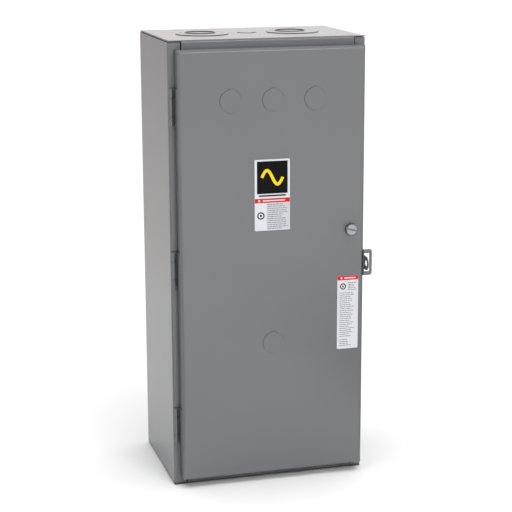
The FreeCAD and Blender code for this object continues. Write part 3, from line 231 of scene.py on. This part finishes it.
# ---------------------------------------------------------------- materials
def enclosure_paint():
    """Smooth grey enamel with a little orange peel, thinner paint on the edges, and painted shade darkening
    its crevices.
    """
    s = Shader("enclosure_paint", (0.158, 0.160, 0.167), 0.24)
    s.tint(s.ramp(s.noise(7.0, 2.0), 0.35, 0.65, 0.0, 0.5), (0.165, 0.167, 0.174))
    s.tint(s.ramp(s.noise(1400.0, 2.0), 0.4, 0.7, 0.0, 0.1), (0.145, 0.147, 0.154))
    s.tint(s.ramp(s.edge(0.4 * MM), 0.0, 1.0, 0.0, 0.35), (0.225, 0.226, 0.232))
    # painted shade: seams, hinge gaps and the channel beside the door are darkened
    s.painted_crevice_shade(9.0 * MM, (0.008, 0.008, 0.009), 0.56)
    s.rough(s.noise(40.0, 2.0), 0.238, 0.252)
    s.bump(s.noise(420.0, 1.5), 0.0015 * MM, softened=0.35 * MM)
    s.bump(s.noise(2600.0, 1.0), 0.0005 * MM)
    return s.material


def plated_steel(name, color, low, high):
    """Zinc plated steel: faint clouds, fine turning marks, a painted highlight on the edges and painted
    shade in crevices.
    """
    s = Shader(name, color, low, metallic=1.0)
    s.tint(s.ramp(s.noise(160.0, 4.0), 0.35, 0.7, 0.0, 0.6), tuple(c * 0.78 for c in color))
    # painted highlight: edges lightened
    s.tint(s.ramp(s.edge(0.3 * MM), 0.0, 1.0, 0.0, 0.8), tuple(min(1.0, c * 1.7) for c in color))
    # painted shade: crevices and the knob's slot darkened
    s.painted_crevice_shade(4.0 * MM, (0.05, 0.05, 0.055), 0.8)
    s.rough(s.noise(300.0, 4.0), low, high)
    s.bump(s.noise(900.0, 3.0, stretch=(1.0, 1.0, 6.0)), 0.006 * MM, softened=0.15 * MM)
    return s.material


def galvanised_steel():
    s = Shader("galvanised_steel", (0.52, 0.53, 0.54), 0.42, metallic=0.9)
    s.tint(s.ramp(s.cells(95.0), 0.2, 0.8, 0.0, 0.55), (0.38, 0.39, 0.41))
    s.tint(s.ramp(s.noise(60.0, 5.0), 0.4, 0.7, 0.0, 0.35), (0.63, 0.64, 0.65))
    s.rough(s.cells(95.0), 0.32, 0.52)
    s.bump(s.noise(700.0, 3.0), 0.01 * MM, softened=0.3 * MM)
    return s.material


def moulding(name, color, low, high):
    """Moulded plastic with a fine grain and mould-worn edges."""
    s = Shader(name, color, low)
    s.tint(s.ramp(s.noise(900.0, 4.0), 0.45, 0.75, 0.0, 0.35), tuple(c * 1.5 + 0.004 for c in color))
    s.tint(s.ramp(s.edge(0.4 * MM), 0.0, 1.0, 0.0, 0.5), tuple(c * 1.8 + 0.01 for c in color))
    s.rough(s.noise(120.0, 4.0), low, high)
    s.bump(s.noise(2400.0, 2.0), 0.012 * MM, softened=0.3 * MM)
    return s.material


def laminated_steel():
    s = Shader("laminated_steel", (0.30, 0.31, 0.32), 0.4, metallic=0.9)
    s.tint(s.ramp(s.bands(400.0, "Z", 0.4), 0.1, 0.5, 0.6, 0.0), (0.09, 0.09, 0.095))
    s.tint(s.ramp(s.noise(90.0, 5.0), 0.5, 0.75, 0.0, 0.5), (0.24, 0.17, 0.12))
    s.rough(s.noise(200.0, 3.0), 0.3, 0.5)
    s.bump(s.bands(400.0, "Z", 0.4), 0.04 * MM, softened=0.2 * MM)
    return s.material


def coil_resin():
    s = Shader("coil_resin", (0.085, 0.026, 0.018), 0.25)
    s.tint(s.ramp(s.noise(60.0, 4.0), 0.4, 0.7, 0.0, 0.6), (0.05, 0.016, 0.012))
    s.rough(s.noise(90.0, 3.0), 0.18, 0.34)
    s.bump(s.noise(250.0, 2.0), 0.05 * MM, softened=0.6 * MM)
    return s.material


def copper():
    s = Shader("copper", (0.80, 0.42, 0.27), 0.3, metallic=1.0)
    s.tint(s.ramp(s.noise(110.0, 5.0), 0.42, 0.68, 0.0, 0.75), (0.36, 0.17, 0.11))
    s.tint(s.ramp(s.edge(0.3 * MM), 0.0, 1.0, 0.0, 0.6), (0.95, 0.62, 0.45))
    s.rough(s.noise(180.0, 4.0), 0.24, 0.46)
    s.bump(s.noise(600.0, 3.0, stretch=(5.0, 1.0, 1.0)), 0.01 * MM, softened=0.2 * MM)
    return s.material


def lug_metal():
    s = Shader("lug_metal", (0.66, 0.67, 0.68), 0.36, metallic=1.0)
    s.tint(s.ramp(s.noise(140.0, 5.0), 0.4, 0.7, 0.0, 0.5), (0.45, 0.46, 0.47))
    s.rough(s.noise(250.0, 3.0), 0.3, 0.5)
    s.bump(s.bands(700.0, "Z", 2.0), 0.008 * MM, softened=0.3 * MM)
    return s.material


def sheen_plastic(name, color, low, high):
    """Smooth glossy plastic: buttons, dials and wire insulation."""
    s = Shader(name, color, low)
    s.tint(s.ramp(s.noise(200.0, 3.0), 0.45, 0.75, 0.0, 0.4), tuple(c * 0.8 for c in color))
    s.rough(s.noise(150.0, 3.0), low, high)
    s.bump(s.noise(1200.0, 2.0), 0.006 * MM, softened=0.25 * MM)
    return s.material


def label_ink(name, color):
    """Flat printed film: a faint screen grain and a satin laminate."""
    s = Shader(name, color, 0.4)
    s.surface.inputs["Specular IOR Level"].default_value = 0.1
    s.tint(s.ramp(s.noise(2500.0, 2.0), 0.45, 0.75, 0.0, 0.3), tuple(c * 0.9 for c in color))
    s.rough(s.noise(90.0, 3.0), 0.34, 0.44)
    s.bump(s.noise(500.0, 2.0), 0.004 * MM)
    return s.material


SLOT_MATERIALS = {
    "enclosure_paint": enclosure_paint(),
    "zinc_steel": plated_steel("zinc_steel", (0.50, 0.50, 0.54), 0.28, 0.4),
    "galvanised_steel": galvanised_steel(),
    "black_moulding": moulding("black_moulding", (0.022, 0.022, 0.024), 0.34, 0.5),
    "grey_moulding": moulding("grey_moulding", (0.07, 0.073, 0.078), 0.4, 0.56),
    "laminated_steel": laminated_steel(),
    "coil_resin": coil_resin(),
    "copper": copper(),
    "spring_steel": plated_steel("spring_steel", (0.5, 0.5, 0.51), 0.2, 0.34),
    "lug_metal": lug_metal(),
    "label_film": label_ink("label_film", (0.68, 0.68, 0.72)),
    "button_plastic": sheen_plastic("button_plastic", (0.03, 0.09, 0.42), 0.2, 0.32),
    "dial_plastic": sheen_plastic("dial_plastic", (0.72, 0.72, 0.69), 0.28, 0.4),
    "wire_black": sheen_plastic("wire_black", (0.018, 0.018, 0.019), 0.3, 0.42),
    "wire_red": sheen_plastic("wire_red", (0.42, 0.02, 0.018), 0.3, 0.42),
}
INK = {
    "black": label_ink("ink_black", (0.004, 0.004, 0.004)),
    "yellow": label_ink("ink_yellow", (0.86, 0.62, 0.02)),
    "red": label_ink("ink_red", (0.60, 0.015, 0.02)),
    "grey": label_ink("ink_grey", (0.10, 0.10, 0.11)),
    "pale": label_ink("ink_pale", (0.58, 0.58, 0.62)),
    "white": label_ink("ink_white", (0.68, 0.68, 0.72)),
}


def dress_frame():
    """Give every CAD node the finish of its slot."""
    slots = {entry["node"]: entry["material_slot"] for entry in frame["record"]["subparts"]}
    for name, obj in NODES.items():
        obj.data.materials.clear()
        obj.data.materials.append(SLOT_MATERIALS[slots[name]])


dress_frame()


# ---------------------------------------------------------------- printed labels
class Label:
    """Printed sticker on the door: a film plate with flat ink shapes just in front of it.

    Shapes are placed in millimetres from the label's upper left corner, u right and v down.
    """

    INKS = ("white", "black", "yellow", "red", "grey", "pale")

    def __init__(self, node):
        self.node = node
        self.low, self.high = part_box(node)
        self.mesh = bmesh.new()
        self.film_front = self.low.y + FILM_FRONT
        self.layer = self.film_front

    def corner(self, u, v):
        """New corner on the current layer."""
        return self.mesh.verts.new((self.low.x + u * MM, self.layer, self.high.z - v * MM))

    def face(self, ink, corners):
        """New face that looks out of the door."""
        face = self.mesh.faces.new(corners)
        face.material_index = self.INKS.index(ink)
        face.normal_update()
        if face.normal.y > 0:
            face.normal_flip()

    def over(self):
        """Print the next shapes a hair in front of everything so far."""
        self.layer -= INK_LAYER

    def polygon(self, ink, points):
        """Flat filled shape."""
        self.face(ink, [self.corner(u, v) for u, v in points])

    def bar(self, ink, u, v, width, height, corner=0.0):
        """Rectangle with square or rounded corners."""
        if not corner:
            self.polygon(ink, [(u, v), (u + width, v), (u + width, v + height), (u, v + height)])
            return
        points = []
        corners = ((width, 0, -90), (width, height, 0), (0, height, 90), (0, 0, 180))
        for du, dv, start in corners:
            cu = u + du + (-corner if du else corner)
            cv = v + dv + (-corner if dv else corner)
            for i in range(CORNER_STEPS + 1):
                angle = math.radians(start + 90 / CORNER_STEPS * i)
                points.append((cu + corner * math.cos(angle), cv + corner * math.sin(angle)))
        self.polygon(ink, points)

    def disc(self, ink, u, v, radius, sides=40):
        angles = [2 * math.pi * i / sides for i in range(sides)]
        self.polygon(ink, [(u + radius * math.cos(a), v + radius * math.sin(a)) for a in angles])

    def stroke(self, ink, points, width):
        """Ribbon of one width along a line of points."""
        pairs = []
        for i, (u, v) in enumerate(points):
            before = points[max(i - 1, 0)]
            after = points[min(i + 1, len(points) - 1)]
            run = Vector((after[0] - before[0], after[1] - before[1])).normalized()
            side = Vector((-run.y, run.x)) * width / 2
            pairs.append([self.corner(u + k * side.x, v + k * side.y) for k in (1, -1)])
        for (a, b), (c, d) in zip(pairs, pairs[1:]):
            self.face(ink, (a, b, d, c))

    def film(self):
        """The sticker itself, with rounded corners, from the door's face to its printed side."""
        width = (self.high.x - self.low.x) / MM
        height = (self.high.z - self.low.z) / MM
        self.bar("white", 0, 0, width, height, FILM_CORNER)
        self.mesh.faces.ensure_lookup_table()
        front = self.mesh.faces[-1]
        ring = bmesh.ops.extrude_face_region(self.mesh, geom=[front])
        moved = [item for item in ring["geom"] if isinstance(item, bmesh.types.BMVert)]
        bmesh.ops.translate(self.mesh, verts=moved, vec=(0, self.high.y - self.film_front, 0))
        self.over()
        return width, height

    def finish(self, name):
        label = placed(name, mesh_from(self.mesh, name))
        for ink in self.INKS:
            label.data.materials.append(INK[ink])
        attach(label, "door")
        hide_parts(self.node)


def ragged(number):
    """Repeatable value between 0 and 1."""
    return math.modf(abs(math.sin(12.9898 * number + 4.1414)) * 4375.85)[0]


def rows(label, u, tops, width, seed):
    """Ragged rows of short grey dashes, each row starting at u."""
    for i, v in enumerate(tops):
        place = u
        end = u + width * (0.66 + 0.34 * ragged(seed + i))
        k = 0
        while place < end - 1.0:
            length = min(1.4 + 4.6 * ragged(seed + 31.7 * i + 3.3 * k), end - place)
            label.bar("grey", place, v, length, DASH_HEIGHT)
            place += length + DASH_GAP
            k += 1


def round_mark(label, u, v, radius):
    """Ring with a dot."""
    for ink, share in (("black", 1.0), ("white", 0.66), ("black", 0.3)):
        label.disc(ink, u, v, radius * share)
        label.over()


def nameplate():
    """Plain wave mark on a black square, a red band, a round mark and rows of grey dashes."""
    label = Label("nameplate_label")
    width, height = label.film()
    square_top, square_height = 2.6, 46.2
    label.bar("black", 3.4, square_top, width - 6.8, square_height)
    label.bar("black", 6.0, 50.6, width - 12.0, 2.2, 0.9)
    label.bar("red", 0.2, 55.6, width - 0.4, 6.2)
    label.bar("pale", 17.4, 62.2, width - 17.9, height - 63.4)
    label.over()
    middle_u, middle_v = width / 2, square_top + square_height / 2
    reach, swing, steps = 15.4, 10.0, 24
    wave = [(middle_u + reach * (i / steps - 1), middle_v - swing * math.sin(math.pi * i / steps))
            for i in range(2 * steps + 1)]
    label.stroke("yellow", wave, 4.4)
    label.disc("white", 6.6, 58.8, 1.6)
    label.bar("white", 11.6, 57.9, 33.0, BAR_HEIGHT, 0.8)
    rows(label, 18.6, [63.8 + 2.9 * i for i in range(13)], width - 20.4, 1.0)
    round_mark(label, 8.9, 80.0, 5.4)
    label.finish("nameplate_print")


def side_label():
    """Red band, a round mark and rows of grey dashes."""
    label = Label("caution_label")
    width = label.film()[0]
    label.bar("red", 0.1, 0.1, width - 0.2, 6.3, 1.5)
    label.over()
    label.disc("white", 6.2, 3.3, 1.5)
    label.bar("white", 10.2, 2.4, 17.5, BAR_HEIGHT, 0.8)
    rows(label, 16.2, [10.2 + 2.6 * i for i in range(5)], 13.4, 5.0)
    rows(label, 3.6, [25.0 + 2.95 * i for i in range(23)], 23.4, 11.0)
    rows(label, 3.6, [95.0 + 2.9 * i for i in range(4)], 18.6, 47.0)
    round_mark(label, 8.6, 15.6, 4.6)
    label.finish("side_label_print")


nameplate()
side_label()


# ---------------------------------------------------------------- springs of wound wire
def depth_at(turn, turns, run, wire):
    """How far along its run a spring's wire is after some turns. The end turns lie close."""
    closed = END_TURNS * END_PITCH * wire
    if turn <= END_TURNS:
        return closed * turn / END_TURNS
    if turn >= turns - END_TURNS:
        return run - closed * (turns - turn) / END_TURNS
    return closed + (run - 2 * closed) * (turn - END_TURNS) / (turns - 2 * END_TURNS)


def wound_wire(build, middle, radius, wire, back, front, turns):
    """Adds round wire, wound along Y from back to front, to a bmesh. middle is its axis as (x, z)."""
    rings = []
    for i in range(turns * STEPS_A_TURN + 1):
        turn = i / STEPS_A_TURN
        depth = depth_at(turn, turns, back - front - 2 * wire, wire)
        angle = 2 * math.pi * turn
        outward = Vector((math.cos(angle), 0, math.sin(angle)))
        centre = Vector((middle[0], back - wire - depth, middle[1])) + outward * radius
        rings.append([build.verts.new(centre + wire * (outward * math.cos(a) + Vector((0, math.sin(a), 0))))
                      for a in (2 * math.pi * k / WIRE_SIDES for k in range(WIRE_SIDES))])
    for ring, following in zip(rings, rings[1:]):
        for k in range(WIRE_SIDES):
            build.faces.new((ring[k], ring[k - 1], following[k - 1], following[k]))
    build.faces.new(rings[0])
    build.faces.new(rings[-1][::-1])


def closing_spring(node, wire, turns, sides=(0,)):
    """Replaces a CAD spring, or two side by side, by wound wire."""
    low, high = (Vector(corner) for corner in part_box(node))
    outer = (high.z - low.z) / 2
    spread = (high.x - low.x) / 2 - outer
    middle_x, middle_z = (low.x + high.x) / 2, (low.z + high.z) / 2
    build = bmesh.new()
    for side in sides:
        middle = (middle_x + side * spread, middle_z)
        wound_wire(build, middle, outer - wire, wire, high.y, low.y, turns)
    bmesh.ops.recalc_face_normals(build, faces=build.faces)
    spring = placed(node + "_wire", mesh_from(build, node + "_wire"))
    for face in spring.data.polygons:
        face.use_smooth = True
    spring.data.materials.append(SLOT_MATERIALS["spring_steel"])
    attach(spring, "enclosure")
    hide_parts(node)
    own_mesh(spring)


closing_spring("return_springs", 0.6 * MM, 6, sides=(-1, 1))
closing_spring("reset_spring", 0.5 * MM, 7)


# ---------------------------------------------------------------- stage, light and camera
def stage_floor():
    """Wide pale floor under the enclosure."""
    build = bmesh.new()
    bmesh.ops.create_circle(build, cap_ends=True, segments=STAGE_SEGMENTS, radius=FLOOR_RADIUS,
                            matrix=Matrix.Translation((0, 0, FLOOR)))
    floor = placed("stage_floor", mesh_from(build, "stage_floor"))
    finish = Shader("stage_floor", (0.94, 0.94, 0.94), 0.8)
    finish.surface.inputs["Specular IOR Level"].default_value = 0.0
    finish.tint(finish.ramp(finish.noise(3.0, 2.0), 0.4, 0.6, 0.0, 0.3), (0.925, 0.925, 0.925))
    floor.data.materials.append(finish.material)


def glow_material(name, color=(1.0, 1.0, 1.0)):
    """A material that only glows. Returns it with its tree and its glow node."""
    material = bpy.data.materials.new(name)
    material.use_nodes = True
    tree = material.node_tree
    tree.nodes.remove(tree.nodes["Principled BSDF"])
    glow = tree.nodes.new("ShaderNodeEmission")
    glow.inputs["Color"].default_value = (*color, 1.0)
    tree.links.new(glow.outputs["Emission"], tree.nodes["Material Output"].inputs["Surface"])
    return material, tree, glow


def glow_card(name, corners, bottom, top, color=(1.0, 1.0, 1.0)):
    """Card that only shows in reflections. bottom and top are (height, strength), and 0 is dark."""
    mesh = bpy.data.meshes.new(name)
    mesh.from_pydata(corners, [], [(0, 1, 2, 3)])
    card = placed(name, mesh)
    material, tree, glow = glow_material(name, color)
    place = tree.nodes.new("ShaderNodeTexCoord")
    split = tree.nodes.new("ShaderNodeSeparateXYZ")
    ramp = tree.nodes.new("ShaderNodeMapRange")
    tree.links.new(place.outputs["Object"], split.inputs["Vector"])
    tree.links.new(split.outputs["Z"], ramp.inputs["Value"])
    ramp.inputs["From Min"].default_value, ramp.inputs["To Min"].default_value = bottom
    ramp.inputs["From Max"].default_value, ramp.inputs["To Max"].default_value = top
    tree.links.new(ramp.outputs["Result"], glow.inputs["Strength"])
    card.data.materials.append(material)
    card.visible_camera = False
    card.visible_diffuse = False
    card.visible_shadow = False
    card.visible_transmission = False


def pale_backdrop():
    """Pale wall round the floor. Only the camera sees it, so it lights nothing."""
    build = bmesh.new()
    bmesh.ops.create_cone(build, cap_ends=False, segments=STAGE_SEGMENTS, radius1=BACKDROP_RADIUS,
                          radius2=BACKDROP_RADIUS, depth=BACKDROP_HEIGHT,
                          matrix=Matrix.Translation((0, 0, FLOOR + BACKDROP_HEIGHT / 2)))
    wall = placed("pale_backdrop", mesh_from(build, "pale_backdrop"))
    material, _, glow = glow_material("pale_backdrop")
    glow.inputs["Strength"].default_value = 1.0
    wall.data.materials.append(material)
    wall.visible_diffuse = False
    wall.visible_glossy = False
    wall.visible_shadow = False
    wall.visible_transmission = False


def upright(x, y, z):
    """Corners of an upright card across the view at depth y."""
    return [(x[0], y, z[0]), (x[1], y, z[0]), (x[1], y, z[1]), (x[0], y, z[1])]


def lying(x, y):
    """Corners of a card lying just above the floor."""
    z = FLOOR + 2 * MM
    return [(x[0], y[0], z), (x[1], y[0], z), (x[1], y[1], z), (x[0], y[1], z)]


def ceiling_lamp(strength, spread):
    """Wide soft light from straight above that reaches the whole floor evenly."""
    data = bpy.data.lights.new("ceiling_lamp", "SUN")
    data.energy = strength
    data.angle = math.radians(spread)
    light = placed("ceiling_lamp", data)
    light.location = (0, 0, 3.0)
    light.visible_glossy = False


def area_light(name, place, target, size, power):
    """Rectangular lamp that faces a target."""
    data = bpy.data.lights.new(name, "AREA")
    data.shape = "RECTANGLE"
    data.size, data.size_y = size
    data.energy = power
    light = placed(name, data)
    light.location = place
    light.rotation_euler = (Vector(target) - Vector(place)).to_track_quat("-Z", "Y").to_euler()
    light.visible_camera = False


def soft_world(strength):
    """Even white light from all round."""
    world = bpy.data.worlds.new("studio")
    world.use_nodes = True
    sky = world.node_tree.nodes["Background"]
    sky.inputs["Color"].default_value = (1.0, 1.0, 1.0, 1.0)
    sky.inputs["Strength"].default_value = strength
    bpy.context.scene.world = world


def main_camera():
    """Long lens at the front left, a little above the top of the enclosure."""
    data = bpy.data.cameras.new("main_camera")
    data.lens = LENS
    data.sensor_width = SENSOR
    data.clip_start, data.clip_end = CAMERA_NEAR, CAMERA_FAR
    camera = placed("main_camera", data)
    camera.location = CAMERA_PLACE
    turn, tilt, roll = (math.radians(angle) for angle in (CAMERA_TURN, CAMERA_TILT, CAMERA_ROLL))
    aim = Matrix.Rotation(turn, 3, "Z") @ Matrix.Rotation(tilt, 3, "X") @ Matrix.Rotation(roll, 3, "Z")
    camera.rotation_euler = aim.to_euler()
    bpy.context.scene.camera = camera


stage_floor()
pale_backdrop()
soft_world(0.22)
ceiling_lamp(2.8, 70.0)
area_light("front_softbox", (0.5, -2.6, 1.4), (0, -0.2, 0), (1.4, 0.9), 30.0)
glow_card("back_sweep", upright((0.28, 5.0), 2.5, (FLOOR, 1.4)),
          (FLOOR, 1.35), (1.5, 1.39), (1.0, 0.955, 0.95))
glow_card("left_sweep", upright((-1.8, -0.16), 1.1, (FLOOR, 0.5)),
          (FLOOR, 1.05), (0.28, 0.69), (1.0, 0.955, 0.94))
DARK = ((FLOOR, 0.1), (0, 0.1))
glow_card("left_shade", lying((-3.0, -0.25), (-2.0, -0.12)), *DARK)
glow_card("right_shade", lying((0.25, 3.0), (-1.2, 2.0)), *DARK)
FRONT_SHADE = ((0.2, -0.26), (2.4, -4.2), (5.0, -4.2), (5.0, -0.9))
glow_card("front_shade", [(x, y, FLOOR + MM) for x, y in FRONT_SHADE], *DARK)
main_camera()
bpy.context.scene.view_settings.view_transform = "Standard"
